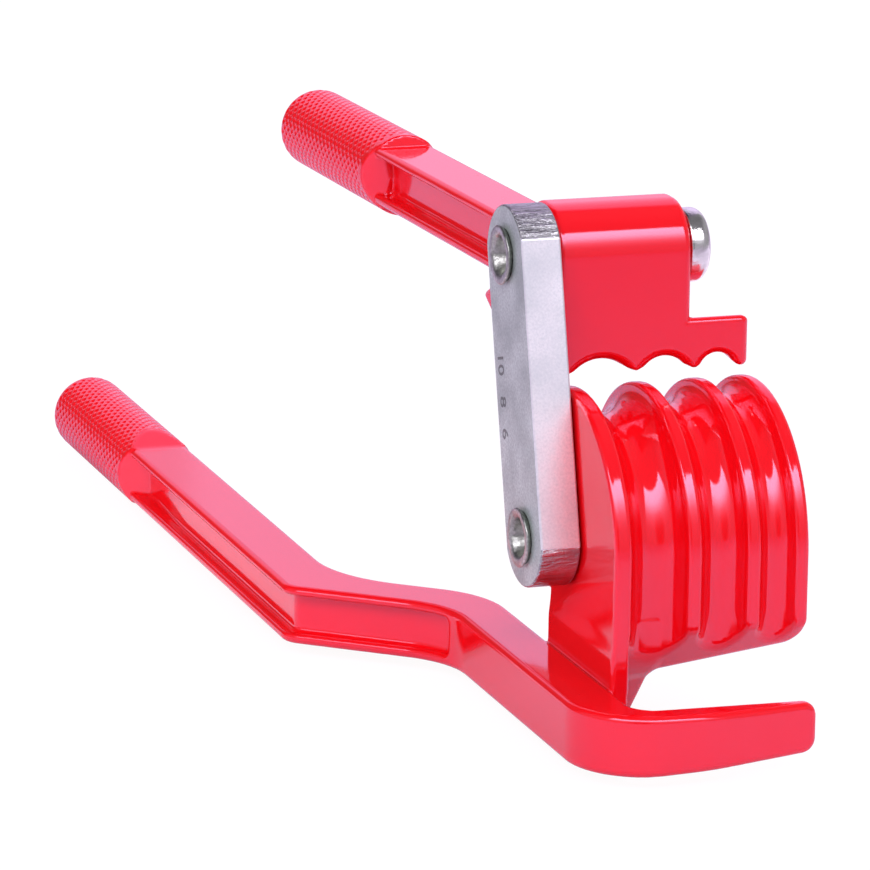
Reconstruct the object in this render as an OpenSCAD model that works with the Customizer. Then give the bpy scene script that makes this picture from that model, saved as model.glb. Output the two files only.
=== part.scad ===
/* [Tubes] */
// Outside diameter of the tube in the groove next to the link
tube_a = 10; // [9:0.5:11]
// Outside diameter of the tube in the middle groove
tube_b = 8; // [7:0.5:9]
// Outside diameter of the tube in the outer groove
tube_c = 6; // [5:0.5:7]
// Width of a groove beyond the diameter of its tube
groove_clear = 0.4; // [0.2:0.1:0.8]

/* [Former] */
// Radius of the former's rims about the bending axis
rim_r = 26.25; // [24:0.25:27]
// Width of the rim beside the link
rim_first = 3.2; // [2.5:0.1:4]
// Width of the other rims
rim_w = 2.6; // [2:0.1:3.2]
// Straight run of the rims below the bending axis
rim_drop = 11.9; // [9:0.1:14]
// Height of the bending axis above the underside of the arm
axis_h = 32.25; // [30:0.25:36]
// Slope of the end face below the rims
end_angle = 47; // [42:1:52]
// Rise of the former's underside away from the neck
under_angle = 10.5; // [6:0.5:14]
// Width of the neck that carries the former, from the link's inner face
neck_w = 10; // [8:0.5:12]
// Reach of the neck before the bending axis, short of the widest groove
neck_front = 20.4; // [16:0.2:20.8]
// Reach of the neck and its web behind the bending axis
neck_back = 7.4; // [6:0.2:10]
// Set-in of the web from the link's inner face, so that the link swings past it
web_in = 0.05; // [0.02:0.01:0.2]
// Depth of the former's back edge below the bending axis
back_drop = 12; // [10:0.5:14]

/* [Link] */
// Distance between the two pivots
link_pitch = 50; // [49:0.5:54]
// Width of the link
link_w = 18.9; // [17:0.1:19.6]
// Thickness of the link
link_t = 7.45; // [6:0.05:9]
// Length of the link beyond each pivot
link_over = 8.95; // [8:0.05:10]
// Radius of the arc at each end of the link
link_end_r = 10; // [10:0.1:13]
// Lean of the link towards the grips
link_lean = 14.4; // [8:0.2:20]
// Gap between the link and each casting
seam = 0.4; // [0.3:0.05:0.6]

/* [Rivets] */
// Diameter of a rivet's shank
shank_d = 9; // [8:0.1:10]
// Clearance between a shank and the bore of a casting, on the radius
run_clear = 0.05; // [0.02:0.01:0.09]
// Diameter of a rivet's head
head_d = 13.4; // [12:0.1:15]
// Height of a rivet's head
head_t = 4.1; // [3:0.1:5]
// Radius round the edge of a rivet's head
head_round = 2; // [1:0.1:2.8]
// Gap between a rivet's head and its casting
head_gap = 0.1; // [0.05:0.05:0.3]
// Diameter of the rolled tail
tail_d = 11.2; // [10.6:0.1:12]
// Height of the rolled tail
tail_t = 0.9; // [0.6:0.1:1.4]
// Diameter of the mouth in the rolled tail
mouth_d = 7.4; // [6.4:0.1:8]
// Diameter of the hole in the shank
core_d = 4.8; // [4:0.1:5.6]
// Depth of the flared mouth
mouth_depth = 2.6; // [1.5:0.1:4]
// Depth of the hole in the shank
core_depth = 9; // [6:0.5:12]
// Outside diameter of a thrust washer
washer_d = 15; // [12:0.5:17]
// Thickness of a thrust washer
washer_t = 0.36; // [0.2:0.02:0.4]

/* [Lower arm] */
// Height of both arms
arm_h = 11; // [10.6:0.1:12]
// Width of both arms at the grips
arm_w = 11.8; // [11:0.1:13]
// Width of the lower arm under the former
root_w = 10; // [9:0.1:10.2]
// Outer side of the lower arm under the former, left of the link's inner face
root_out = 9.9; // [9:0.1:11]
// Sideways step of the lower arm
crank_x = 25.1; // [20:0.1:28]
// Distance behind the bending axis at which the arm's outer side cranks
crank_y = 53.5; // [50:0.5:58]
// Angle of the crank from the arm's run
crank_angle = 50; // [45:1:55]
// Width of the crank
crank_w = 11.3; // [10.5:0.1:12]
// Radius of the corner where the arm cranks away from the former, on its inner side
crank_in_r = 20; // [16:1:22]
// Radius of the corner where the arm cranks away from the former, on its outer side
crank_out_r = 18; // [14:1:20]
// Radius of the inner corner at the lever's end of the crank
lever_in_r = 16; // [12:1:18]
// Radius of the outer corner at the lever's end of the crank
lever_out_r = 5; // [3:0.5:7]
// Distance from the bending axis to the end of the lower grip
lower_len = 215.6; // [200:0.2:230]

/* [Hook bar] */
// Distance of the bar's front face before the bending axis
hook_front = 44; // [42:0.2:46]
// Thickness of the bar at its root
hook_root_t = 5.4; // [4.5:0.1:6]
// Thickness of the bar at its tip
hook_tip_t = 2.6; // [2:0.1:4]
// Reach of the bar to the right of the link's inner face
hook_reach = 33.2; // [30:0.2:36]
// Amount by which the tip's front lies behind the root's front
hook_sweep = 4; // [2:0.1:5]
// Rise of the bar's underside at its tip
hook_rise = 1.1; // [0.5:0.1:2]
// Fall of the bar's top at its tip
hook_fall = 0.9; // [0.3:0.1:1.5]
// Distance to the right of the link's inner face at which the bar's front sweeps back
hook_bend = 12.8; // [11:0.2:15]
// Radius of the bend in the bar's front
hook_bend_r = 40; // [30:1:50]
// Radius of the outer corner between the arm and the bar
hook_corner = 14; // [11:0.5:16]
// Radius of the inner corner between the arm and the bar
hook_inner = 4; // [3:0.5:6]
// Radius round the corners of the tip
hook_tip_r = 2.6; // [1:0.1:3.5]

/* [Shoe] */
// Distance of the shoe's front face before the upper pivot
shoe_front = 7.2; // [6.8:0.1:8]
// Depth of the cusps below the upper pivot at the front face
shoe_low = 21.2; // [19.8:0.1:21.6]
// Depth of the shoe's grooves
shoe_groove = 2.5; // [2.2:0.1:3]
// Slope of the sole, rising towards the grip
sole_angle = 5.8; // [4:0.2:8]
// Distance from the upper pivot to the back end of the sole
sole_back = 29.5; // [26:0.5:31]
// Length of the nose behind the sole
nose_len = 5.4; // [4:0.1:6]
// Rise of the nose's underside
nose_rise = 2.7; // [2:0.1:3]
// Radius round the nose
nose_r = 1; // [0.5:0.1:1.2]
// Width of the hub
hub_w = 25; // [23:0.2:27]
// Height of the hub's top above the upper pivot
hub_top = 8.5; // [8.2:0.1:9.6]
// Distance of the hub's back behind the upper pivot
hub_back = 10.2; // [9.8:0.1:11]
// Radius of the hub's top corner in front
hub_round = 9; // [7:0.1:9.3]
// Radius of the hub's top corner behind
hub_round_back = 6.2; // [4:0.1:6.3]
// Height of the shoe's wing above the cusps
wing_h = 9.2; // [8:0.1:9.8]
// Radius of the wing's top corner
wing_round = 1.5; // [0.5:0.1:2]
// Width of the flat along the front of the wing's top, right of the hub
flange_crest = 1.2; // [1:0.1:2]
// Fall of the wing's top behind that flat
flange_fall = 15.5; // [14:0.5:16]
// Distance from the upper pivot to the back of the wing, right of the hub
flange_back = 5.5; // [4:0.5:6]

/* [Upper arm] */
// Outer side of the upper arm, left of the link's inner face
upper_out = 1; // [0.6:0.1:1.2]
// Depth of the upper arm's centre line below the upper pivot
upper_drop = 2.7; // [2:0.1:3.4]
// Droop of the upper arm towards its grip
upper_tilt = 1.2; // [0:0.1:2]
// Distance from the upper pivot at which the arm takes its full width
upper_step = 16; // [14:0.5:20]
// Distance from the upper pivot to the end of the upper grip
upper_len = 152; // [140:0.5:165]

/* [Grips and pockets] */
// Diameter of both grips
grip_d = 15.8; // [15:0.1:17]
// Length of the lower grip
lower_grip = 58; // [52:0.5:62]
// Length of the upper grip
upper_grip = 60; // [54:0.5:64]
// Radius round the end of a grip
grip_round = 1.8; // [1:0.1:3]
// Depth of the pockets in the sides of the arms
pocket_depth = 3.3; // [2.5:0.1:4]
// Solid length left at the root end of the crank's pocket
pocket_stop = 1; // [0.5:0.1:4]
// Length of the slope from the floor of a pocket out to the side of the grip
pocket_slope = 5.6; // [4.5:0.1:7]
// Length of the slope from the arm's top up to the lower grip
lower_slope = 9; // [7:0.5:11]
// Length of the slope from the arm's top up to the upper grip
upper_slope = 3; // [2.5:0.1:4]
// Thickness of the lip over a pocket
lip_top = 1.7; // [1.4:0.1:2.2]
// Thickness of the lip under a pocket
lip_low = 2; // [1.5:0.1:2.5]

/* [Hidden] */
$fn = 96;
// Room by which a cutter passes the face that it cuts
over = 1;
// Size of a cutter that takes away all on one side of a plane
far = 80;
// Depth to which a corner's arc laps into its outline
lap = 0.3;
// Grooves from the link outwards: each width, then each centre along the axis
widths = [for (tube = [tube_a, tube_b, tube_c]) tube + groove_clear];
centres = [seam + rim_first + widths[0] / 2,
           seam + rim_first + widths[0] + rim_w + widths[1] / 2,
           seam + rim_first + widths[0] + rim_w + widths[1] + rim_w + widths[2] / 2];
former_w = rim_first + widths[0] + widths[1] + widths[2] + 3 * rim_w;
former_right = seam + former_w;
bore_d = shank_d + 2 * run_clear;
// Upper pivot as it stands over the bending axis
pivot_y = link_pitch * sin(link_lean);
pivot_z = axis_h + link_pitch * cos(link_lean);
// Plan of the lower arm: inner side under the former, and both sides at the grip
root_in = root_w - root_out;
lever_out = -root_out - crank_x;
lever_in = lever_out + arm_w;
// Distance along the arm that the crank takes for each millimetre sideways
crank_slope = 1 / tan(crank_angle);
crank_thick = crank_w / sin(crank_angle);
// Half the web between two pockets, and how far the lips run on beside the sloped front of a grip
web_half = arm_w / 2 - pocket_depth;
lip_run = pocket_slope * pocket_depth / (grip_d / 2 - web_half) + over / 2;
// Top of the neck and its web, inside the former
web_top = axis_h - rim_drop;

function unit(v) = v / norm(v);
function flat(p) = [p[0], p[1]];
function round_of(p) = len(p) > 2 ? p[2] : 0;

// A corner rounded by the third number of its point: both tangent points, a point inside the outline,
// the centre, the radius, a number above zero where the corner is convex, and the sharp point
function corner(before, here, after) =
    let (p = flat(here), r = round_of(here), a = unit(flat(before) - p), b = unit(flat(after) - p))
    let (half = acos(a * b) / 2, reach = r / tan(half), centre = p + unit(a + b) * r / sin(half))
    let (start = p + a * reach, end = p + b * reach)
    let (inner = (start + end) / 2 + unit(a + b) * min(lap, r / 4))
    [start, end, inner, centre, r, a[1] * b[0] - a[0] * b[1], p];

// The part of a corner's circle that lies in the corner
module corner_arc(c) {
    intersection() {
        polygon([c[0], c[6], c[1], c[2]]);
        translate(c[3])
            circle(c[4]);
    }
}

// Outline through points given counter-clockwise, each with an optional radius
module rounded(points) {
    n = len(points);
    corners = [for (i = [0 : n - 1]) corner(points[(i + n - 1) % n], points[i], points[(i + 1) % n])];
    difference() {
        union() {
            polygon([for (c = corners) each c[4] > 0 ? [c[0], c[1]] : [c[6]]]);
            for (c = corners)
                if (c[4] > 0 && c[5] > 0)
                    corner_arc(c);
        }
        for (c = corners)
            if (c[4] > 0 && c[5] < 0)
                corner_arc(c);
    }
}

// Solid whose side outline, drawn in Y and Z, runs from x = from to x = to
module across(from, to) {
    translate([from, 0, 0])
        rotate([90, 0, 90])
            linear_extrude(to - from)
                children();
}

// Round bar along X
module along_x(d, from, to) {
    translate([from, 0, 0])
        rotate([0, 90, 0])
            cylinder(d = d, h = to - from);
}

// Half section of the former: radius, then distance along the axis
module former_section() {
    difference() {
        translate([0, seam])
            square([rim_r, former_w]);
        for (i = [0 : 2])
            translate([rim_r, centres[i]])
                circle(d = widths[i]);
    }
}

// Grooved former: round over the axis, straight below it in front
module former_body() {
    translate([0, 0, axis_h])
        rotate([0, 90, 0])
            rotate_extrude()
                former_section();
    translate([0, 0, arm_h])
        rotate([0, 0, -90])
            linear_extrude(axis_h - arm_h)
                former_section();
}

// Space before and below the sloping end face
module end_cut() {
    translate([-far, -rim_r, web_top])
        rotate([-end_angle, 0, 0])
            translate([0, -far, -far])
                cube([2 * far, 2 * far, far]);
}

// Space below the former's underside and below its back edge
module under_cut() {
    translate([neck_w, -far / 2, arm_h])
        rotate([0, -under_angle, 0])
            translate([-far, 0, -far])
                cube([2 * far, far, far]);
    translate([-far, neck_back, axis_h - back_drop - far])
        cube([2 * far, far, far]);
}

// Neck from the arm to the former, with the web beside the link
module neck() {
    difference() {
        footed_block(neck_w, neck_front);
        end_cut();
    }
    footed_block(seam + rim_first, rim_r);
}

// Block beside the link, with a foot that reaches into the arm
module footed_block(right, front) {
    foot_out = -root_out / 2;
    translate([web_in, -front, 0])
        cube([right - web_in, front + neck_back, web_top]);
    translate([foot_out, -front, 0])
        cube([right - foot_out, front + neck_back, arm_h]);
}

// Plan of the lower arm with its crank and the hook bar
module arm_plan() {
    lever_end = lower_len - lower_grip + lip_run;
    front_turn = -hook_front + hook_sweep;
    rounded([
        [lever_out, lever_end],
        [lever_out, crank_y, lever_out_r],
        [-root_out, crank_y - crank_x * crank_slope, crank_out_r],
        [-root_out, -hook_front, hook_corner],
        [hook_bend, -hook_front, hook_bend_r],
        [hook_reach, front_turn],
        [hook_reach, front_turn + hook_tip_t],
        [root_in, -hook_front + hook_root_t, hook_inner],
        [root_in, crank_y + crank_thick - (root_in - lever_out) * crank_slope, crank_in_r],
        [lever_in, crank_y + crank_thick - arm_w * crank_slope, lever_in_r],
        [lever_in, lever_end],
    ]);
}

// Front view of the lower arm, which trims the tip of the bar
module arm_front() {
    rounded([
        [lever_out - over, 0],
        [root_in, 0],
        [hook_reach, hook_rise, hook_tip_r],
        [hook_reach, arm_h - hook_fall, hook_tip_r],
        [root_in, arm_h],
        [lever_out - over, arm_h],
    ]);
}

module lower_arm() {
    intersection() {
        linear_extrude(arm_h)
            arm_plan();
        translate([0, lower_len, 0])
            rotate([90, 0, 0])
                linear_extrude(lower_len + hook_front + over)
                    arm_front();
    }
}

// Outline of a grip whose front narrows to half a width of the arm over a length of run
module grip_front(length, half, run) {
    grip_r = grip_d / 2;
    step = over * (grip_r - half) / run;
    polygon([
        [-length - over, step - half],
        [run + over - length, -step - grip_r],
        [over, -step - grip_r],
        [over, step + grip_r],
        [run + over - length, step + grip_r],
        [-length - over, half - step],
    ]);
}

// Round grip along Y that ends at y = 0; its front slopes to the web and to the arm's top and underside
module grip(length, rise) {
    grip_r = grip_d / 2;
    intersection() {
        rotate([90, 0, 0])
            rotate_extrude()
                rounded([[0, 0], [grip_r, 0, grip_round], [grip_r, length + lap], [0, length + lap]]);
        rotate([0, 90, 0])
            across(-grip_d, grip_d)
                grip_front(length, web_half, pocket_slope);
        across(-grip_d, grip_d)
            grip_front(length, arm_h / 2, rise);
    }
}

// Pocket in one side of an arm whose face is at x = 0
module pocket(from, to) {
    translate([-over, from, lip_low])
        cube([over + pocket_depth, to - from, arm_h - lip_low - lip_top]);
}

// Both pockets of a straight arm that is centred on x = 0
module pocket_pair(left_from, right_from, to) {
    translate([-arm_w / 2, 0, 0])
        pocket(left_from, to);
    mirror([1, 0, 0])
        translate([-arm_w / 2, 0, 0])
            pocket(right_from, to);
}

// Pocket along the outer face of the crank
module crank_pocket() {
    run = crank_x / sin(crank_angle);
    translate([lever_out, crank_y, lip_low])
        rotate([0, 0, crank_angle - 90])
            translate([0, -over, 0])
                cube([run - pocket_stop, over + pocket_depth, arm_h - lip_low - lip_top]);
}

module former_handle() {
    lever_mid = (lever_out + lever_in) / 2;
    color("crimson")
        difference() {
            union() {
                difference() {
                    former_body();
                    end_cut();
                    under_cut();
                }
                neck();
                difference() {
                    lower_arm();
                    translate([lever_mid, 0, 0])
                        pocket_pair(crank_y, crank_y + crank_thick, lower_len);
                    crank_pocket();
                }
                translate([lever_mid, lower_len, arm_h / 2])
                    grip(lower_grip, lower_slope);
            }
            translate([0, 0, axis_h])
                along_x(bore_d, -over, former_right + over);
        }
}

// Side outline of the shoe's sole and wing, about the upper pivot
module wing_side() {
    sole_rise = (sole_back + shoe_front) * tan(sole_angle);
    wing_top = -shoe_low + wing_h;
    rounded([
        [-shoe_front, -shoe_low],
        [sole_back, -shoe_low + sole_rise],
        [sole_back + nose_len, -shoe_low + sole_rise + nose_rise, nose_r],
        [sole_back, wing_top],
        [-shoe_front, wing_top],
    ]);
}

// Side outline of the hub
module hub_side() {
    rounded([
        [-shoe_front, -shoe_low + wing_h / 2],
        [hub_back, -shoe_low + wing_h / 2],
        [hub_back, hub_top, hub_round_back],
        [-shoe_front, hub_top, hub_round],
    ]);
}

// Side outline of the arm's root, which runs from the hub over the sole
module root_side() {
    arm_low = -upper_drop - arm_h / 2;
    polygon([
        [0, -shoe_low + wing_h - over],
        [sole_back - over, -shoe_low + wing_h - over],
        [upper_step, arm_low],
        [upper_step + over, arm_low],
        [upper_step + over, arm_low + arm_h],
        [0, arm_low + arm_h],
    ]);
}

// Grooves of the sole, as round bars along it
module sole_grooves() {
    translate([0, -shoe_front, -shoe_low])
        rotate([sole_angle, 0, 0])
            for (i = [0 : 2]) {
                groove_r = (pow(widths[i] / 2, 2) + pow(shoe_groove, 2)) / (2 * shoe_groove);
                translate([centres[i], -over, shoe_groove - groove_r])
                    rotate([-90, 0, 0])
                        cylinder(r = groove_r, h = shoe_front + sole_back + 2 * nose_len);
            }
}

// Front view of the wing, which rounds its right end
module wing_front() {
    rounded([
        [seam, -far],
        [former_right, -far],
        [former_right, -shoe_low + wing_h, wing_round],
        [seam, -shoe_low + wing_h],
    ]);
}

// Space over and behind the short flange right of the hub
module flange_cut() {
    translate([seam + hub_w, flange_crest - shoe_front, wing_h - shoe_low])
        rotate([-flange_fall, 0, 0])
            cube([far, far, far]);
    translate([seam + hub_w, flange_back, -far])
        cube([far, far, 2 * far]);
}

// Sole, nose and wing, before the grooves are cut
module wing() {
    difference() {
        intersection() {
            across(seam, former_right)
                wing_side();
            translate([0, far, 0])
                rotate([90, 0, 0])
                    linear_extrude(2 * far)
                        wing_front();
        }
        flange_cut();
    }
}

module shoe_handle() {
    arm_mid = -upper_out + arm_w / 2;
    arm_low = -upper_drop - arm_h / 2;
    color("crimson")
        translate([0, pivot_y, pivot_z])
            difference() {
                union() {
                    wing();
                    across(seam, seam + hub_w)
                        hub_side();
                    rotate([-upper_tilt, 0, 0]) {
                        across(seam, arm_mid + arm_w / 2)
                            root_side();
                        difference() {
                            translate([-upper_out, upper_step, arm_low])
                                cube([arm_w, upper_len - upper_grip - upper_step + lip_run, arm_h]);
                            translate([arm_mid, 0, arm_low])
                                pocket_pair(sole_back, sole_back, upper_len);
                        }
                        translate([arm_mid, upper_len, arm_low + arm_h / 2])
                            grip(upper_grip, upper_slope);
                    }
                }
                along_x(bore_d, 0, seam + hub_w + over);
                sole_grooves();
            }
}

// Outline of the link: straight sides that meet an arc at each end
module link_side() {
    half = link_w / 2;
    low = link_end_r - link_over;
    high = link_pitch - low;
    translate([-half, low])
        square([link_w, high - low]);
    for (z = [low, high])
        intersection() {
            translate([0, z])
                circle(link_end_r);
            translate([-half, z - 2 * link_end_r])
                square([link_w, 4 * link_end_r]);
        }
}

module link_plate() {
    color("silver")
        translate([0, 0, axis_h])
            rotate([-link_lean, 0, 0])
                difference() {
                    across(-link_t, 0)
                        link_side();
                    for (z = [0, link_pitch])
                        translate([0, 0, z])
                            along_x(shank_d, -link_t - over, over);
                }
}

// Rivet along X through the link and a casting whose far face is at x = width
module rivet(width) {
    shank_r = shank_d / 2;
    mouth_r = mouth_d / 2;
    core_r = core_d / 2;
    head_x = width + head_gap;
    tail_x = -link_t - tail_t;
    core_x = tail_x + core_depth;
    color("gainsboro")
        rotate([0, 90, 0])
            rotate_extrude()
                difference() {
                    union() {
                        translate([0, tail_x])
                            square([shank_r, head_x - tail_x]);
                        rounded([
                            [0, tail_x],
                            [tail_d / 2, tail_x, tail_t / 2],
                            [tail_d / 2, -link_t],
                            [0, -link_t],
                        ]);
                        rounded([
                            [0, head_x],
                            [head_d / 2, head_x],
                            [head_d / 2, head_x + head_t, head_round],
                            [0, head_x + head_t],
                        ]);
                    }
                    polygon([
                        [0, tail_x - over],
                        [mouth_r, tail_x - over],
                        [mouth_r, tail_x],
                        [core_r, tail_x + mouth_depth],
                        [core_r, core_x],
                        [0, core_x + core_r / 2],
                    ]);
                }
}

// Thrust washer against the link's inner face
module washer() {
    color("dimgray")
        difference() {
            along_x(washer_d, 0, washer_t);
            along_x(bore_d, -over, washer_t + over);
        }
}

module former_rivet() {
    translate([0, 0, axis_h])
        rivet(former_right);
}

module shoe_rivet() {
    translate([0, pivot_y, pivot_z])
        rivet(seam + hub_w);
}

module former_washer() {
    translate([0, 0, axis_h])
        washer();
}

module shoe_washer() {
    translate([0, pivot_y, pivot_z])
        washer();
}

former_handle();
shoe_handle();
link_plate();
former_rivet();
shoe_rivet();
former_washer();
shoe_washer();
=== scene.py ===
import math

import bpy
import numpy as np
from mathutils import Matrix, Vector
from mathutils.geometry import tessellate_polygon


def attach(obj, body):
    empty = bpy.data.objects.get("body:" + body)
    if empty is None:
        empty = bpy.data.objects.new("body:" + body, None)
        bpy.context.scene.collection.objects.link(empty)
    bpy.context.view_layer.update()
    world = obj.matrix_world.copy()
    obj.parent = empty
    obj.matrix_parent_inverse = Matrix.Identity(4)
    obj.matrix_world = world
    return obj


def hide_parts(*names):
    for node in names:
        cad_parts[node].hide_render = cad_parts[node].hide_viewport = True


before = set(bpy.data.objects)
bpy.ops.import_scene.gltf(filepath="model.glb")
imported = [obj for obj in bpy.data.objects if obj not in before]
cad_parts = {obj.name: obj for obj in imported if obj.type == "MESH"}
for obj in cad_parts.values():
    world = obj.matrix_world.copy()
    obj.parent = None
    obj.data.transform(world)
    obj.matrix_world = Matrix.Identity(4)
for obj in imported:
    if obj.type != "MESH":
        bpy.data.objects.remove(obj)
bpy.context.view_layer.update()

# Sizes are millimetres in the shared frame: +X from the link into the former,
# +Y towards the grips, +Z up. MM turns them to metres.
MM = 0.001

# ---------------------------------------------------------------- sizes

AXIS_H = 32.25                      # height of the bending axis
PITCH = 50.0                        # between the two rivets
LEAN = math.radians(14.4)           # the link leans back towards the grips
PIVOT_Y = PITCH * math.sin(LEAN)
PIVOT_Z = AXIS_H + PITCH * math.cos(LEAN)

SEAM = 0.4                          # dark gap between the link and a casting
RIM_R = 26.25
BORE_R = 4.6                        # for the rivets, through both castings
FORMER_RIGHT = 36.6
GROOVES = ((8.8, 5.2), (20.8, 4.2), (30.8, 3.2))    # former: centre, radius
SOLE_GROOVES = ((8.8, 6.658, 1.9), (20.8, 4.778, 1.7), (30.8, 3.298, 1.4))
SOLE_DEPTH = 2.5
END_ANGLE = math.radians(47)
END_POINT = (-26.25, 20.35)         # on the former's end face, in y and z
UNDER_ANGLE = math.radians(10.5)
UNDER_X = 10.0
NECK_W = 10.5
NECK_FRONT, NECK_BACK = -20.4, 7.4
BACK_FLOOR = 20.25
WEB_RIGHT = 3.6
WEB_TOP = 20.35

ARM_H = 11.0
ARM_HALF_W = 5.9
ARM_EDGE = 1.2                      # edge rounding of both handles
LEVER_X = -29.1                     # middle of the lower lever
LOWER_FRONT, LOWER_END = 157.6, 215.6
UPPER_X, UPPER_Z = 4.9, -2.7        # middle of the upper arm, from its pivot
UPPER_FRONT, UPPER_END = 92.0, 152.0
UPPER_TILT = math.radians(1.2)
GRIP_R = 7.9
CORE_UNDER = 0.6                    # how far the core lies under the knurl
LIP_TOP, LIP_LOW = 1.7, 2.0         # walls above and below a side pocket
POCKET = 3.3
WEB_HALF = ARM_HALF_W - POCKET
LOWER_TOP, UPPER_TOP = (4.6, 0.356), (-6.2, 6.0)     # front slope of a grip:
                                    # height over its axis, rise per mm
LOWER_SMOOTH, UPPER_SMOOTH = 0.3, 1.0           # bare edge before the knurl

# outline corners: two coordinates in the outline's plane and a corner radius
ARM_PLAN = (
    (-35, 161.4), (-35, 53.5, 5), (-9.9, 32.44, 18), (-9.9, -44, 14),
    (12.8, -44, 40), (36.2, -39.41), (36.2, -37.29), (0.1, -38.6, 4),
    (0.1, 38.80, 20), (-23.2, 58.35, 26), (-23.2, 161.4),
)
ARM_FRONT = (                       # the hook bar thins to the right
    (-60, -2), (33.2, 1.1, 2.6), (33.2, 10.1, 2.6), (-60, 12.64),
)
ARM_LEFT = (
    (-35, 400), (-35, 53.5, 5), (-9.9, 32.44, 18), (-9.9, -400),
    (400, -400), (400, 400),
)
CRANK_START = (-35.0, 53.5)
CRANK_ALONG = (0.766, -0.643)
CRANK_POCKET = 33.3                 # pocket's reach along the crank
LEVER_POCKET = 68.25                # where the lever's right pocket starts
UPPER_POCKET = 23.5                 # where the upper arm's pockets start
POCKET_EDGE = 0.8                   # rounding of a pocket's rim
POCKET_END = 3                      # corner radius where a pocket starts
CRANK_END = 1.2                     # the same at the end on the crank
GRIP_BLEND = 0.35                   # fillet between an arm and its grip
BLOCK = (                           # hub, sole and nose, from the left
    (-7.2, -21.2, 0.8), (29.5, -17.47, 2), (34.9, -14.77, 1.0),
    (29.5, -12, 2), (10.2, -12, 2), (10.2, 8.5, 6.2), (-7.2, 8.5, 9.0),
)
FLANGE = (                          # the wing right of the hub
    (-7.2, -21.2, 0.8), (5.5, -19.91, 0.8), (5.5, -15.19, 0.8),
    (-6.0, -12.0, 1.0), (-7.2, -12.0, 1.0),
)
HUB_RIGHT = 25.4
SOLE_ANGLE = math.radians(5.8)
SHOE_FRONT, SHOE_LOW = -7.2, -21.2
ROOT = (
    (0, -13), (28.5, -13), (16, -8.2), (17, -8.2), (17, 2.8), (0, 2.8),
)

# ---------------------------------------------------------------- fields
# A field is a signed distance in millimetres, negative inside the metal.


def meet(a, b, r=0.0):
    """What lies in both a and b, with the edge rounded to r."""
    if np.ndim(r) == 0 and r == 0:
        return np.maximum(a, b)
    return (np.minimum(np.maximum(a, b), -r)
            + np.hypot(np.maximum(a + r, 0), np.maximum(b + r, 0)))


def join(a, b, r=0.0):
    """What lies in a or b, with a fillet of r where they meet."""
    return -meet(-a, -b, r)


def cut(a, b, r=0.0):
    """a without b, with the new edge rounded to r."""
    return meet(a, -b, r)


def between(v, low, high):
    return np.maximum(low - v, v - high)


def outline(corners):
    """Lines and arcs of a closed outline, its corners counter-clockwise."""
    points = [np.array(c[:2], float) for c in corners]
    ends, arcs = [], []
    for i, (p, c) in enumerate(zip(points, corners)):
        r = c[2] if len(c) > 2 else 0
        a = points[i - 1] - p
        b = points[(i + 1) % len(points)] - p
        a, b = a / np.linalg.norm(a), b / np.linalg.norm(b)
        if r == 0:
            ends.append((p, p))
            continue
        half = math.acos(a @ b) / 2
        inward = (a + b) / np.linalg.norm(a + b)
        centre = p + inward * r / math.sin(half)
        turn = 1.0 if a[1] * b[0] - a[0] * b[1] > 0 else -1.0
        ends.append((p + a * r / math.tan(half), p + b * r / math.tan(half)))
        arcs.append((centre, r, -inward, math.sin(half), turn))
    lines = [(ends[i - 1][1], ends[i][0]) for i in range(len(ends))]
    return lines, arcs


def inside(shape, u, v):
    """Field of an outline made by outline()."""
    lines, arcs = shape
    near = np.full(np.shape(u), 1e12)
    side = np.zeros(np.shape(u))
    for p, q in lines:
        d = q - p
        size = d @ d
        if size < 1e-9:
            continue
        e, f = u - p[0], v - p[1]
        out = (e * d[1] - f * d[0]) / math.sqrt(size)
        t = np.clip((e * d[0] + f * d[1]) / size, 0, 1)
        far = (e - t * d[0]) ** 2 + (f - t * d[1]) ** 2
        # at a shared corner the line seen more squarely gives the side
        tie = np.abs(far - near) < 1e-6 * (1 + far)
        closer = np.where(tie, np.abs(out) > np.abs(side), far < near)
        near = np.where(closer, far, near)
        side = np.where(closer, out, side)
    near = np.sqrt(near)
    for c, r, middle, cosine, turn in arcs:
        e, f = u - c[0], v - c[1]
        rho = np.hypot(e, f)
        far = np.abs(rho - r)
        closer = (far < near) & (e * middle[0] + f * middle[1] >= rho * cosine)
        near = np.where(closer, far, near)
        side = np.where(closer, turn * (rho - r), side)
    return np.copysign(near, side)


def rise(v, low, high):
    t = np.clip((v - low) / (high - low), 0, 1)
    return t * t * (3 - 2 * t)


SIDE_SLOPE = (GRIP_R - WEB_HALF) / 5.6     # from a pocket's floor outwards


def grip_edge(sine, cosine, top):
    """How far behind its front a grip reaches its full radius, at a turn
    given by its sine and cosine from the upright."""
    return np.maximum((GRIP_R * sine - WEB_HALF) / SIDE_SLOPE,
                      (GRIP_R * cosine - top[0]) / top[1])


def grip_core(u, v, w, end, top, smooth):
    """Round core under a grip's knurl, v behind its front. The front slopes
    to the web between the pockets and to the top of the arm."""
    u, w = np.abs(u), np.abs(w)
    rho = np.maximum(np.hypot(u, w), 1e-6)
    past = v - grip_edge(u / rho, w / rho, top) - smooth
    core = rho - GRIP_R + CORE_UNDER * rise(past, 0, 0.8)
    sides = (u - WEB_HALF - SIDE_SLOPE * v) / math.hypot(1, SIDE_SLOPE)
    tops = (w - top[0] - top[1] * v) / math.hypot(1, top[1])
    core = meet(meet(core, sides, 0.3), tops, 0.3)
    return meet(core, between(v, -2, end - 0.8))


POCKET_MID = (LIP_LOW - LIP_TOP) / 2
POCKET_HALF = (ARM_H - LIP_LOW - LIP_TOP) / 2
FILLET = 0.7                        # along the floor of a side pocket
SHALLOWER = 0.8                     # the left pocket, away from the grip

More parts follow.
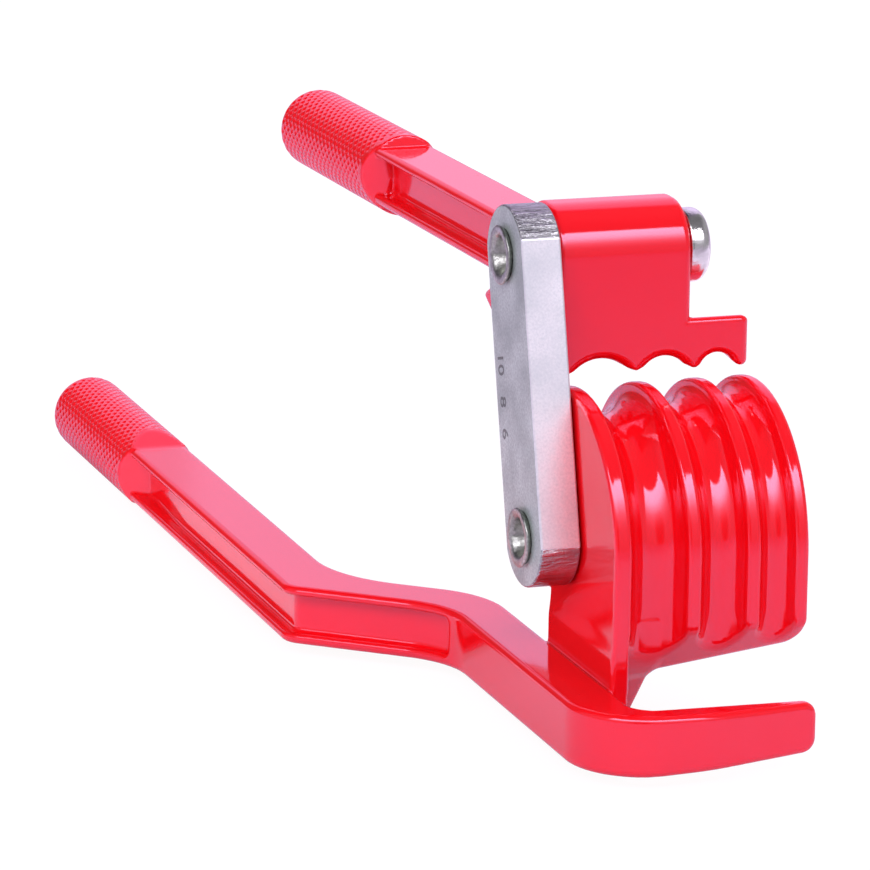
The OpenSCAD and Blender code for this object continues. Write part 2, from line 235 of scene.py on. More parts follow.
PLAN, FRONT, LEFT = outline(ARM_PLAN), outline(ARM_FRONT), outline(ARM_LEFT)
BLOCK_SIDE, FLANGE_SIDE = outline(BLOCK), outline(FLANGE)
ROOT_SIDE = outline(ROOT)


def former_field(x, y, z):
    """Lower handle: grooved former, neck, hook bar, crank, lever, grip."""
    dz = z - AXIS_H
    rho = np.where((dz < 0) & (y < 0), -y, np.hypot(y, dz))
    drum = rho - RIM_R
    for middle, r in GROOVES:
        drum = cut(drum, np.hypot(rho - RIM_R, x - middle) - r, 0.7)
    # the first rim runs down to the arm as a web; right of it the former
    # ends in a sloping face and an underside that rises to the right
    past_web = WEB_RIGHT - x
    before_end = (math.sin(END_ANGLE) * (y - END_POINT[0])
                  + math.cos(END_ANGLE) * (z - END_POINT[1]))
    drum = cut(drum, meet(before_end, past_web, 0.5), 0.9)
    under = (math.sin(UNDER_ANGLE) * (x - UNDER_X)
             - math.cos(UNDER_ANGLE) * (z - ARM_H))
    lower_right = meet(under, x - FORMER_RIGHT, 3.0)
    drum = cut(drum, meet(-lower_right, past_web, 0.5), 1.0)

    neck = meet(meet(x - NECK_W, NECK_FRONT - y, 0.8), -before_end, 0.9)
    head = join(drum, np.maximum(neck, z - WEB_TOP), 1.7)
    head = meet(head, 0.05 - z, 0.8)
    head = cut(head, np.maximum(NECK_BACK - y, z - BACK_FLOOR), 1.5)
    left_face = SEAM + (0.05 - SEAM) * (1 - rise(z, 15, 20))
    head = meet(head, left_face - x, 0.8)
    head = cut(head, np.hypot(y, dz) - BORE_R)

    arm = meet(inside(PLAN, x, y),
               np.maximum(between(z, 0, ARM_H), inside(FRONT, x, z)), ARM_EDGE)
    foot = np.maximum(np.maximum(between(x, -4, 3), between(y, -18, 5)),
                      between(z, 2, 9))
    body = join(join(arm, head, 0.5 * rise(z, 1, 4) + 1e-6), foot)

    u, w = x - LEVER_X, z - ARM_H / 2
    tall = np.abs(w - POCKET_MID) - POCKET_HALF
    along = ((x - CRANK_START[0]) * CRANK_ALONG[0]
             + (y - CRANK_START[1]) * CRANK_ALONG[1])
    deep = POCKET - SHALLOWER * (1 - rise(y, 128, 156))
    left = meet(-inside(LEFT, x, y) - deep, tall, FILLET)
    left = meet(left, along - CRANK_POCKET, CRANK_END)
    right = meet(meet(WEB_HALF - u, tall, FILLET), LEVER_POCKET - y,
                 POCKET_END)
    right = np.where(y > 60, right, 50.0)       # nowhere near the former
    body = cut(cut(body, left, POCKET_EDGE), right, POCKET_EDGE)
    grip = grip_core(u, y - LOWER_FRONT, w, LOWER_END - LOWER_FRONT,
                     LOWER_TOP, LOWER_SMOOTH)
    return join(body, grip, GRIP_BLEND)


def shoe_field(x, y, z):
    """Upper handle: grooved shoe, hub, straight arm and grip."""
    y, z = y - PIVOT_Y, z - PIVOT_Z
    block = meet(inside(BLOCK_SIDE, y, z), between(x, SEAM, HUB_RIGHT), 1.2)
    flange = meet(inside(FLANGE_SIDE, y, z), between(x, 16, FORMER_RIGHT), 1.4)
    # the fillet beside the hub dies out at the shared front face and sole
    fillet = 0.9 * rise(y, SHOE_FRONT + 0.3, SHOE_FRONT + 2.2)
    head = join(block, flange, fillet * rise(z, -17.0, -14.5) + 1e-6)
    ahead, up = y - SHOE_FRONT, z - SHOE_LOW
    lift = up * math.cos(SOLE_ANGLE) - ahead * math.sin(SOLE_ANGLE)
    for middle, r, soft in SOLE_GROOVES:
        groove = np.hypot(x - middle, lift - SOLE_DEPTH + r) - r
        head = cut(head, groove, soft)
    pivot_bore = np.hypot(y, z) - BORE_R

    c, s = math.cos(UPPER_TILT), math.sin(UPPER_TILT)
    y, z = y * c - z * s, y * s + z * c
    u, w = x - UPPER_X, z - UPPER_Z
    root = meet(inside(ROOT_SIDE, y, z),
                between(x, SEAM, UPPER_X + ARM_HALF_W), ARM_EDGE)
    arm = meet(np.abs(u) - ARM_HALF_W, np.abs(w) - ARM_H / 2, ARM_EDGE)
    arm = meet(arm, between(y, 16, UPPER_FRONT + 3.8), ARM_EDGE)
    body = cut(join(join(head, root, 1.5), arm), pivot_bore)

    tall = np.abs(w - POCKET_MID) - POCKET_HALF
    for sign in (-1, 1):
        side = meet(WEB_HALF - sign * u, tall, FILLET)
        body = cut(body, meet(side, UPPER_POCKET - y, POCKET_END),
                   POCKET_EDGE)
    grip = grip_core(u, y - UPPER_FRONT, w, UPPER_END - UPPER_FRONT,
                     UPPER_TOP, UPPER_SMOOTH)
    return join(body, grip, GRIP_BLEND)


# ---------------------------------------------------------------- meshes


def skin(field, low, high, step):
    """Vertices, quads and normals of a field's surface, in millimetres."""
    block = 4
    low = np.array(low, float)
    count = np.ceil((np.array(high) - low) / (block * step)).astype(int)
    centres = [low[i] + (np.arange(count[i]) + 0.5) * block * step
               for i in range(3)]
    coarse = field(*np.meshgrid(*centres, indexing="ij"))
    reach = block * step * 0.87 * 1.5 + step
    kept = np.argwhere(np.abs(coarse) < reach)
    value = np.repeat(np.repeat(np.repeat(
        np.sign(coarse).astype(np.float32) * 9, block, 0), block, 1), block, 2)
    value = np.pad(value, ((0, 1),) * 3, constant_values=9)
    corner = np.indices((block + 1,) * 3).reshape(3, -1).T
    for part in np.array_split(kept, max(1, len(kept) // 4000)):
        at = (part[:, None, :] * block + corner[None]).reshape(-1, 3)
        p = low + at * step
        value[at[:, 0], at[:, 1], at[:, 2]] = field(p[:, 0], p[:, 1], p[:, 2])

    solid = value < 0
    cells = [slice(0, -1), slice(1, None)]
    total = np.zeros(tuple(n - 1 for n in value.shape), np.int8)
    for i in range(8):
        total += solid[cells[i & 1], cells[i >> 1 & 1], cells[i >> 2]]
    active = np.argwhere((total > 0) & (total < 8))
    number = np.full(total.shape, -1, np.int64)
    number[tuple(active.T)] = np.arange(len(active))
    sums, hits = np.zeros((len(active), 3)), np.zeros(len(active))
    quads = []
    for axis in range(3):
        b_axis, c_axis = (axis + 1) % 3, (axis + 2) % 3
        one = [slice(None)] * 3
        two = [slice(None)] * 3
        one[axis], two[axis] = slice(0, -1), slice(1, None)
        start, stop = value[tuple(one)], value[tuple(two)]
        edge = np.argwhere((start < 0) != (stop < 0))
        f0 = start[tuple(edge.T)]
        f1 = stop[tuple(edge.T)]
        spot = edge.astype(float)
        spot[:, axis] += f0 / (f0 - f1)
        ring = []
        for db, dc in ((0, 0), (1, 0), (1, 1), (0, 1)):
            cell = edge.copy()
            cell[:, b_axis] -= db
            cell[:, c_axis] -= dc
            index = number[tuple(cell.T)]
            np.add.at(sums, index, spot)
            np.add.at(hits, index, 1)
            ring.append(index)
        face = np.stack(ring, 1)
        flip = f0 > 0
        face[flip] = face[flip][:, ::-1]
        quads.append(face)
    quads = np.concatenate(quads)
    verts = low + sums / hits[:, None] * step

    pairs = np.concatenate([quads[:, [i, (i + 1) % 4]] for i in range(4)])
    degree = np.bincount(pairs[:, 0], minlength=len(verts))
    tiny = 0.04

    def slope(p):
        g = np.stack([field(*(p + np.eye(3)[i] * tiny).T)
                      - field(*(p - np.eye(3)[i] * tiny).T)
                      for i in range(3)], 1) / (2 * tiny)
        return g, np.maximum(np.linalg.norm(g, axis=1), 1e-6)

    for turn in range(4):
        if turn < 3:
            mean = np.stack([np.bincount(pairs[:, 0],
                                         weights=verts[pairs[:, 1], i],
                                         minlength=len(verts))
                             for i in range(3)], 1) / degree[:, None]
            verts = verts + (mean - verts) * 0.5
        g, size = slope(verts)
        off = np.clip(field(*verts.T) / size, -step / 2, step / 2)
        verts = verts - g / size[:, None] * off[:, None]
    g, size = slope(verts)
    return verts, quads, g / size[:, None]


def piece(name, verts, faces, body, materials, normals=None,
          face_material=None):
    """A mesh object in the shared frame, riding on a body."""
    verts = np.asarray(verts, float)
    faces = faces if isinstance(faces, list) else faces.tolist()
    fans = np.array([(f[0], f[i], f[i + 1]) for f in faces
                     for i in range(1, len(f) - 1)])
    a, b, c = (verts[fans[:, i]] - verts[0] for i in range(3))
    if np.einsum("ij,ij->i", a, np.cross(b, c)).sum() < 0:
        faces = [f[::-1] for f in faces]
    mesh = bpy.data.meshes.new(name)
    mesh.from_pydata((verts * MM).tolist(), [], faces)
    mesh.polygons.foreach_set("use_smooth", [True] * len(mesh.polygons))
    for material in materials:
        mesh.materials.append(material)
    if face_material is not None:
        mesh.polygons.foreach_set("material_index", face_material)
    if normals is not None:
        mesh.normals_split_custom_set_from_vertices(normals.tolist())
    mesh.update()
    made = bpy.data.objects.new(name, mesh)
    bpy.context.scene.collection.objects.link(made)
    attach(made, body)
    return made


def grid_faces(rows, around):
    """Quads of a closed tube of rows, each row `around` points."""
    a = np.arange(rows - 1)[:, None] * around + np.arange(around)[None]
    b = (np.arange(rows - 1)[:, None] * around
         + (np.arange(around)[None] + 1) % around)
    return np.stack([a, b, b + around, a + around], 2).reshape(-1, 4)


KNURL_STARTS = 24
KNURL_PITCH = 2.5                   # along the grip
KNURL_DEPTH = 0.36
GRIP_ROUND = 1.8


def knurl(end, top, smooth):
    """A grip's knurled sleeve with its rounded end, its axis along Y from
    the front of the grip. At its sloped front it dips under the core."""
    around = KNURL_STARTS * 8
    along = np.arange(3.0, end - GRIP_ROUND, KNURL_PITCH / 10)
    turn = np.linspace(0, math.pi / 2, 9)[1:]
    inner = np.array([0.75, 0.5, 0.25, 0.06]) * (GRIP_R - GRIP_ROUND)
    ys = np.concatenate([along, end - GRIP_ROUND + GRIP_ROUND * np.sin(turn),
                         np.full(4, end)])
    rs = np.concatenate([np.full(len(along), GRIP_R), GRIP_R - GRIP_ROUND
                         + GRIP_ROUND * np.cos(turn), inner])
    angle = np.arange(around) * 2 * math.pi / around
    a, v = np.meshgrid(angle, ys)
    sine, cosine = np.abs(np.sin(a)), np.abs(np.cos(a))
    past = v - grip_edge(sine, cosine, top) - smooth
    lead = 2 * math.pi * v / KNURL_PITCH
    pit = ((1 + np.cos(KNURL_STARTS * a + lead))
           * (1 + np.cos(KNURL_STARTS * a - lead)) / 4) ** 1.5
    fade = rise(past, 0.2, 1.8) * (1 - rise(v, end - 2.2, end - 0.9))
    r = rs[:, None] - KNURL_DEPTH * pit * fade - 0.03 * (past < 0)
    sides = (WEB_HALF + SIDE_SLOPE * v) / np.maximum(sine, 0.1) - 0.3
    tops = (top[0] + top[1] * v) / np.maximum(cosine, 0.1) - 0.3
    r = np.minimum(r, np.minimum(sides, tops))
    verts = np.stack([r * np.sin(a), v, r * np.cos(a)], 2).reshape(-1, 3)
    faces = grid_faces(len(ys), around).tolist()
    faces.append(list(range((len(ys) - 1) * around, len(ys) * around)))
    return verts, faces


def turned(profile, around, wobble=0.0):
    """A body of revolution about X from (x, radius) points."""
    angle = np.arange(around) * 2 * math.pi / around
    x = np.array([p[0] for p in profile])
    r = np.array([p[1] for p in profile])
    rough = wobble * (np.sin(3 * angle + 0.6) + 0.7 * np.sin(7 * angle + 2.1)
                      + 0.5 * np.sin(13 * angle + 4.4)) / 2.2
    tail = rise(-x, 7.5, 8.1)
    r = r[:, None] + rough[None] * tail[:, None]
    x = x[:, None] - 0.5 * np.roll(rough, 17)[None] * tail[:, None]
    verts = np.stack([np.broadcast_to(x, r.shape), r * np.sin(angle),
                      r * np.cos(angle)], 2).reshape(-1, 3)
    faces = grid_faces(len(profile), around).tolist()
    last = (len(profile) - 1) * around
    faces.append(list(range(around))[::-1])
    faces.append(list(range(last, last + around)))
    return verts, faces


def lean(along, across, x):
    """A point of the link, given along and across it, in the frame."""
    return (x, along * math.sin(LEAN) + across * math.cos(LEAN),
            AXIS_H + along * math.cos(LEAN) - across * math.sin(LEAN))


def lean_way(along, across, x):
    """A direction of the link in the frame, of length 1."""
    way = Vector(lean(along, across, x)) - Vector((0, 0, AXIS_H))
    return way.normalized()[:]


# ---------------------------------------------------------------- materials


def linear(code):
    """sRGB hex to linear colour."""
    parts = [int(code[i:i + 2], 16) / 255 for i in (1, 3, 5)]
    return tuple(c / 12.92 if c <= 0.04045 else ((c + 0.055) / 1.055) ** 2.4
                 for c in parts) + (1.0,)


def add(tree, kind, inputs=None, **settings):
    """A node with its settings; an input is a value or another's socket."""
    made = tree.nodes.new(kind)
    for key, value in settings.items():
        setattr(made, key, value)
    for key, value in (inputs or {}).items():
        if isinstance(value, bpy.types.NodeSocket):
            tree.links.new(value, made.inputs[key])
        else:
            made.inputs[key].default_value = value
    return made


def graded(tree, value, steps):
    """Colour of a ramp through (position, colour) steps."""
    ramp = add(tree, "ShaderNodeValToRGB", {0: value})
    stops = ramp.color_ramp.elements
    while len(stops) < len(steps):
        stops.new(0.5)
    for stop, (position, colour) in zip(stops, steps):
        stop.position = position
        stop.color = colour
    return ramp.outputs[0]


def per_mm(size):
    """Pattern scale that gives features of this size in millimetres."""
    return 1 / (size * MM)


def started(name):
    material = bpy.data.materials.new(name)
    material.use_nodes = True
    tree = material.node_tree
    tree.nodes.clear()
    place = add(tree, "ShaderNodeTexCoord").outputs["Object"]
    return material, tree, place


def enamel(name, peel):
    """Stoved enamel sprayed on a die casting: a deep red film with a hard
    gloss. It shows sharp window reflections, a faint orange peel and a few
    specks of dust caught while it was wet."""
    material, tree, place = started(name)
    cloud = add(tree, "ShaderNodeTexNoise", {
        "Vector": place, "Scale": per_mm(14), "Detail": 3.0})
    red = add(tree, "ShaderNodeMix", {
        0: cloud.outputs["Fac"], 6: linear("#E9060F"), 7: linear("#EE0812")},
        data_type="RGBA")
    ripple = add(tree, "ShaderNodeTexNoise", {
        "Vector": place, "Scale": per_mm(1.6), "Detail": 2.0})
    dust = add(tree, "ShaderNodeTexVoronoi", {
        "Vector": place, "Scale": per_mm(7), "Randomness": 1.0})
    speck = add(tree, "ShaderNodeMapRange", {
        "Value": dust.outputs["Distance"], "From Min": 0.0, "From Max": 0.035,
        "To Min": 1.0, "To Max": 0.0})
    peeled = add(tree, "ShaderNodeBump", {
        "Height": ripple.outputs["Fac"], "Strength": peel,
        "Distance": 0.05 * MM})
    bumped = add(tree, "ShaderNodeBump", {
        "Height": speck.outputs["Result"], "Strength": 0.5,
        "Distance": 0.08 * MM, "Normal": peeled.outputs["Normal"]})
    shader = add(tree, "ShaderNodeBsdfPrincipled", {
        "Base Color": red.outputs[2], "Roughness": 0.08, "IOR": 1.85,
        "Specular Tint": linear("#FFDCFF"),
        "Normal": bumped.outputs["Normal"]})
    add(tree, "ShaderNodeOutputMaterial", {"Surface": shader.outputs[0]})
    return material


def plated(name, colour, shade, grain, stretch, rough, height, metal=1.0):
    """Steel under a thin plate or oil: a cool grey, satin or bright, that
    keeps the marks of the tool beneath, drawn by a stretched grain."""
    material, tree, place = started(name)
    turned_place = add(tree, "ShaderNodeMapping", {
        "Vector": place, "Rotation": (LEAN, 0, 0), "Scale": stretch})
    lines = add(tree, "ShaderNodeTexNoise", {
        "Vector": turned_place.outputs[0], "Scale": per_mm(grain),
        "Detail": 4.0, "Roughness": 0.6})
    cloud = add(tree, "ShaderNodeTexNoise", {
        "Vector": place, "Scale": per_mm(9), "Detail": 4.0})
    both = add(tree, "ShaderNodeMath", {
        0: lines.outputs["Fac"], 1: cloud.outputs["Fac"]},
        operation="MULTIPLY")
    span = add(tree, "ShaderNodeMapRange", {
        "Value": both.outputs[0], "From Min": 0.12, "From Max": 0.4})
    tone = add(tree, "ShaderNodeMix", {
        0: span.outputs["Result"], 6: linear(shade), 7: linear(colour)},
        data_type="RGBA")
    matt = add(tree, "ShaderNodeMapRange", {
        "Value": lines.outputs["Fac"], "From Min": 0.3, "From Max": 0.7,
        "To Min": rough + 0.07, "To Max": rough - 0.05})
    bumped = add(tree, "ShaderNodeBump", {
        "Height": lines.outputs["Fac"], "Strength": 0.6,
        "Distance": height * MM})
    shader = add(tree, "ShaderNodeBsdfPrincipled", {
        "Base Color": tone.outputs[2], "Metallic": metal,
        "Roughness": matt.outputs["Result"],
        "Normal": bumped.outputs["Normal"]})
    add(tree, "ShaderNodeOutputMaterial", {"Surface": shader.outputs[0]})
    return material


red_enamel = enamel("Red stoved enamel, sprayed", 0.10)
knurl_enamel = enamel("Red stoved enamel over knurling", 0.05)
plate_face = plated("Zinc-plated steel, blasted face", "#D4E0D8", "#A4B0AA",
                    0.5, (1, 1, 1), 0.52, 0.012, 0.6)
plate_edge = plated("Zinc-plated steel, milled edge", "#FFFFFF", "#DEE3E4",
                    0.45, (1, 1, 1), 0.34, 0.02, 0.8)
plate_end = plated("Zinc-plated steel, sawn end", "#E0E2E0", "#8A8C8C",
                   0.8, (0.13, 1, 1), 0.18, 1.2, 0.95)
rivet_metal = plated("Nickel-plated steel, struck head", "#F2F4EE", "#D6D7D0",
                     1.3, (1, 1, 1), 0.17, 0.16)
tail_metal = plated("Nickel-plated steel, rolled tail", "#CED2C8", "#888C82",
                    0.6, (1, 1, 1), 0.32, 0.16)
etched_metal = plated("Zinc-plated steel, etched mark", "#8C928E", "#707672",
                      0.4, (1, 1, 1), 0.6, 0.01, 0.6)
washer_metal = plated("Oiled spring steel, rolled", "#4A4A4E", "#2E2E32",
                      0.4, (1, 0.2, 1), 0.40, 0.01)

# ---------------------------------------------------------------- pieces

STEP = 0.55

verts, faces, normals = skin(former_field, (-40, -48, -5), (40, 218, 62), STEP)
former_casting = piece("former_casting", verts, faces, "former_handle",
                       [red_enamel], normals)
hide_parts("former_handle")

verts, faces, normals = skin(shoe_field, (-6, 2, 56), (40, 168, 93), STEP)
shoe_casting = piece("shoe_casting", verts, faces, "shoe_handle",
                     [red_enamel], normals)
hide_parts("shoe_handle")

verts, faces = knurl(LOWER_END - LOWER_FRONT, LOWER_TOP, LOWER_SMOOTH)
piece("lower_grip_knurl", verts + (LEVER_X, LOWER_FRONT, ARM_H / 2), faces,
      "former_handle", [knurl_enamel])

verts, faces = knurl(UPPER_END - UPPER_FRONT, UPPER_TOP, UPPER_SMOOTH)
c, s = math.cos(UPPER_TILT), math.sin(UPPER_TILT)
local_y, local_z = verts[:, 1] + UPPER_FRONT, verts[:, 2] + UPPER_Z
verts = np.stack([verts[:, 0] + UPPER_X,
                  local_y * c + local_z * s + PIVOT_Y,
                  local_z * c - local_y * s + PIVOT_Z], 1)
piece("upper_grip_knurl", verts, faces, "shoe_handle",
      [knurl_enamel])

# the link: straight sides, an arc at each end that softens into them through
# a short bend, and all edges broken by a small bevel
PLATE_T = 7.45
PLATE_HALF, PLATE_OVER, PLATE_END_R = 9.45, 8.95, 10.0
PLATE_BEVEL = 0.45
BEND_R, BEND_FROM, BEND_TO = 2.6, math.radians(68), math.radians(84)
HOLE_R = 4.7
quarter = [(a, PLATE_END_R * math.cos(a) - PLATE_END_R,
            PLATE_END_R * math.sin(a)) for a in np.linspace(0, BEND_FROM, 13)]
for a in np.linspace(BEND_FROM, BEND_TO, 7)[1:]:
    quarter.append((a, quarter[12][1] + BEND_R * (math.cos(a)
                                                  - math.cos(BEND_FROM)),
                    PLATE_HALF - BEND_R * (math.sin(BEND_TO) - math.sin(a))))
quarter.append((math.pi / 2, quarter[-1][1] - 0.06, PLATE_HALF))
rim, outward, ends = [], [], []
for end, side in ((1, 1), (-1, 1), (-1, -1), (1, -1)):
    run = quarter if end == side else quarter[::-1]
    for a, short, across in run:
        if across == 0 and side == -1:
            continue
        middle = PITCH / 2 + PLATE_OVER
        rim.append((PITCH / 2 + end * (middle + short), side * across))
        outward.append((end * math.cos(a), side * math.sin(a)))
        ends.append(a < math.radians(80))
rings = []
for i in range(5):
    a = i / 4 * math.pi / 2
    rings.append((PLATE_BEVEL * (1 - math.sin(a)),
                  -PLATE_T + PLATE_BEVEL * (1 - math.cos(a)),
                  math.sin(a), -math.cos(a)))
rings += [(inset, -PLATE_T - x, out, -side) for inset, x, out, side
          in rings[::-1]]
verts, normals = [], []
for inset, x, out, side in rings:
    for p, n in zip(rim, outward):
        verts.append(lean(p[0] - n[0] * inset, p[1] - n[1] * inset, x))
        normals.append(lean_way(n[0] * out, n[1] * out, side))
faces = grid_faces(len(rings), len(rim)).tolist()
kinds = [0 if i // len(rim) in (0, len(rings) - 2)
         else 2 if ends[i % len(rim)] and ends[(i + 1) % len(rim)] else 1
         for i in range(len(faces))]
HOLE_SIDES = 48
holes = [[(mid + HOLE_R * math.cos(-a), HOLE_R * math.sin(-a))
          for a in np.arange(HOLE_SIDES) * 2 * math.pi / HOLE_SIDES]
         for mid in (0, PITCH)]
inner = [(p[0] - n[0] * PLATE_BEVEL, p[1] - n[1] * PLATE_BEVEL)
         for p, n in zip(rim, outward)]
triangles = tessellate_polygon([[Vector((*p, 0)) for p in loop]
                                for loop in (inner, *holes)])
for first, x, side in ((0, -PLATE_T, -1), ((len(rings) - 1) * len(rim), 0, 1)):
    lookup = list(range(first, first + len(rim)))
    for loop in holes:
        lookup += range(len(verts), len(verts) + len(loop))
        verts += [lean(*p, x) for p in loop]
        normals += [(side, 0, 0)] * len(loop)
    for triangle in triangles:
        face = [lookup[i] for i in triangle]
        p, q, r = (Vector(verts[i]) for i in face)
        faces.append(face if (q - p).cross(r - p).x * side < 0
                     else face[::-1])
        kinds.append(0)
for mid, loop in zip((0, PITCH), holes):
    first = len(verts)
    for x in (-PLATE_T, 0):
        verts += [lean(*p, x) for p in loop]
        normals += [lean_way(mid - p[0], -p[1], 0) for p in loop]
    walls = grid_faces(2, HOLE_SIDES) + first
    faces += walls.tolist()
    kinds += [1] * len(walls)
link = piece("link_plate_milled", verts, faces, "link",
             [plate_face, plate_edge, plate_end], np.array(normals), kinds)
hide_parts("link_plate")

# plain numbers etched near the back edge of the face that is seen, reading
# downwards: the tube that each groove takes, from the link outwards
ETCH_ALONG, ETCH_ACROSS, ETCH_TALL = 24.8, 5.85, 3.1
writing = bpy.data.objects.new("tube_sizes", bpy.data.curves.new("tube_sizes",
                                                                 "FONT"))
writing.data.body = "10   8   6"
writing.data.extrude = 0.01
writing.data.offset = 0.012
bpy.context.scene.collection.objects.link(writing)
drawn = writing.to_mesh()
points = np.array([v.co[:] for v in drawn.vertices])
faces = [list(p.vertices) for p in drawn.polygons]
writing.to_mesh_clear()
bpy.data.objects.remove(writing)
low, high = points.min(0), points.max(0)
size = ETCH_TALL / (high - low)[1]
verts = [lean(ETCH_ALONG - size * p[0], ETCH_ACROSS - size * p[1],
              -PLATE_T - 2 * p[2]) for p in points - (low + high) / 2]
piece("tube_sizes_etched", verts, faces, "link", [etched_metal])

# the rivets: a turned head on the right, a hollow end flared over the link
for name, node, head_x, along in (
        ("former_rivet_flared", "former_rivet", 36.7, 0.0),
        ("shoe_rivet_flared", "shoe_rivet", 25.5, PITCH)):
    top = head_x + 4.1
    edge = [(top - 2.0 + 2.0 * math.cos(a), 4.7 + 2.0 * math.sin(a))
            for a in np.linspace(0, math.pi / 2, 10)]
    shank = [(head_x + 0.5, 6.7), (head_x + 0.15, 6.6), (head_x, 6.35),
             (head_x, 4.5), (-7.3, 4.5)]
    tail = [(-7.45, 4.55), (-7.8, 4.8), (-8.15, 5.15), (-8.3, 5.3),
            (-8.45, 5.3), (-8.57, 5.15), (-8.6, 4.85), (-8.58, 4.4),
            (-8.5, 3.9), (-8.3, 3.6), (-7.9, 3.42), (-7.3, 3.25),
            (-6.5, 2.95), (-5.8, 2.62), (-5.2, 2.4), (0.6, 2.4), (1.2, 1.6),
            (1.5, 0.3)]
    profile = [(top + 0.25, 0.3), (top + 0.2, 2.0), (top + 0.1, 3.6), *edge,
               *shank, *tail]
    verts, faces = turned(profile, 96, 0.12)
    verts = verts + lean(along, 0, 0)
    turned_part = (len(profile) - len(tail)) * 96
    kinds = [0 if i < turned_part else 1 for i in range(len(faces))]
    made = piece(name, verts, faces, "link",
                 [rivet_metal, tail_metal], face_material=kinds)
    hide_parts(node)

for node in ("former_washer", "shoe_washer"):
    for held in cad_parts[node].material_slots:
        held.material = washer_metal

# ---------------------------------------------------------------- studio

FLOOR_Z = ARM_H / 2 - GRIP_R        # the lower grip touches it
# painted light and shade on the paper from front to back, by metres along Y:
# darker in front and at the back, where less light falls, and a pale band
# where the object's gloss sees it; the violet tint is painted into those
# reflections
FLOOR_LIGHT_STEPS = ((-0.35, "#BCB0C4"), (-0.12, "#E0D4E8"), (0.04, "#E0D4E8"),
               (0.085, "#FFF2FF"), (0.16, "#FFF2FF"), (0.18, "#C8B8D4"))
GLOW, PALER_GLOW = 1.15, -0.1       # strength, and its change with the tone
CAMERA_SHARE, GLOSS_SHARE = 0.88, 0.45      # of the glow, against plain paper
bpy.ops.mesh.primitive_plane_add(size=8, location=(0, 0, FLOOR_Z * MM))
floor = bpy.context.object
floor.name = "studio_floor"
paper = bpy.data.materials.new("Paper sweep with painted light and shade")
paper.use_nodes = True
tree = paper.node_tree
tree.nodes.clear()
path = add(tree, "ShaderNodeLightPath")
depth = add(tree, "ShaderNodeSeparateXYZ", {
    0: add(tree, "ShaderNodeTexCoord").outputs["Object"]})
far_off = add(tree, "ShaderNodeMapRange", {
    "Value": depth.outputs["Y"], "From Min": FLOOR_LIGHT_STEPS[0][0],
    "From Max": FLOOR_LIGHT_STEPS[-1][0]})
# the floor's painted light and shade, graded along Y
shade = graded(tree, far_off.outputs["Result"], [
    ((y - FLOOR_LIGHT_STEPS[0][0]) / (FLOOR_LIGHT_STEPS[-1][0] - FLOOR_LIGHT_STEPS[0][0]),
     linear(code)) for y, code in FLOOR_LIGHT_STEPS])
matt_white = add(tree, "ShaderNodeBsdfDiffuse", {"Color": shade})
# it glows white for the camera, a little less where its painted light is
# paler, and for glossy rays it glows with that painted tone: painted light in
# the object's reflections
white = add(tree, "ShaderNodeMath", {
    0: shade, 1: PALER_GLOW, 2: GLOW}, operation="MULTIPLY_ADD")
glow = add(tree, "ShaderNodeMix", {
    0: path.outputs["Is Camera Ray"], 6: shade,
    7: linear("#FFFFFF")}, data_type="RGBA")
bright = add(tree, "ShaderNodeEmission", {
    "Color": glow.outputs[2], "Strength": white.outputs[0]})
mirrored = add(tree, "ShaderNodeMath", {
    0: path.outputs["Is Glossy Ray"], 1: GLOSS_SHARE}, operation="MULTIPLY")
share = add(tree, "ShaderNodeMath", {
    0: path.outputs["Is Camera Ray"], 1: CAMERA_SHARE,
    2: mirrored.outputs[0]},
    operation="MULTIPLY_ADD")
mixed = add(tree, "ShaderNodeMixShader", {
    0: share.outputs[0], 1: matt_white.outputs[0], 2: bright.outputs[0]})
add(tree, "ShaderNodeOutputMaterial", {"Surface": mixed.outputs[0]})
floor.data.materials.append(paper)

# A long softbox over the camera's shoulder, with a sharp top edge, that fades
# towards the floor; pale walls all round under a dim ceiling.
SOFTBOX_TURN = 16                   # degrees to the camera's side of -Y
SOFTBOX_HALF = 54                   # half its width, in degrees
SOFTBOX_LEVEL = 6.2
SOFTBOX_STEPS = ((0, 0), (15, 0.02), (21, 0.07), (27, 0.18), (33, 0.5),
                 (39, 0.9), (49.5, 1.1), (51.5, 0.0))
WALL_STEPS = ((0, 0.40), (30, 0.42), (51, 0.20))
BACK_STEPS = ((0, 0.15), (7, 0.8), (50, 0.8), (57, 0.0))
WORLD_TOP = 60                      # degrees of height that the steps cover
BACK_FROM, BACK_TO = 146, 162       # degrees aside where the back wall starts
LEFT_FROM, LEFT_TO, LEFT_LEVEL = -115, -85, 0.25     # dim walls, back left
TOWARDS_CAMERA = (-0.309, -0.920, 0.242)     # dark there, in front
STUDIO_TINT, BACK_TINT = "#F7EFFF", "#EAD4FF"
world = bpy.data.worlds.new("White studio")
bpy.context.scene.world = world
world.use_nodes = True
tree = world.node_tree
tree.nodes.clear()
seen = add(tree, "ShaderNodeLightPath").outputs["Is Camera Ray"]
turned_way = add(tree, "ShaderNodeVectorRotate", {
    "Vector": add(tree, "ShaderNodeTexCoord").outputs["Generated"],
    "Angle": math.radians(SOFTBOX_TURN)}, rotation_type="Z_AXIS")
way = add(tree, "ShaderNodeSeparateXYZ", {0: turned_way.outputs[0]})
height = add(tree, "ShaderNodeMath", {0: way.outputs["Z"]},
             operation="ARCSINE")
lifted = add(tree, "ShaderNodeMapRange", {
    "Value": height.outputs[0], "From Min": 0.0,
    "From Max": math.radians(WORLD_TOP)})
ahead = add(tree, "ShaderNodeMath", {0: way.outputs["Y"], 1: -1.0},
            operation="MULTIPLY")
aside = add(tree, "ShaderNodeMath", {
    0: way.outputs["X"], 1: ahead.outputs[0]}, operation="ARCTAN2")
apart = add(tree, "ShaderNodeMath", {0: aside.outputs[0]},
            operation="ABSOLUTE")
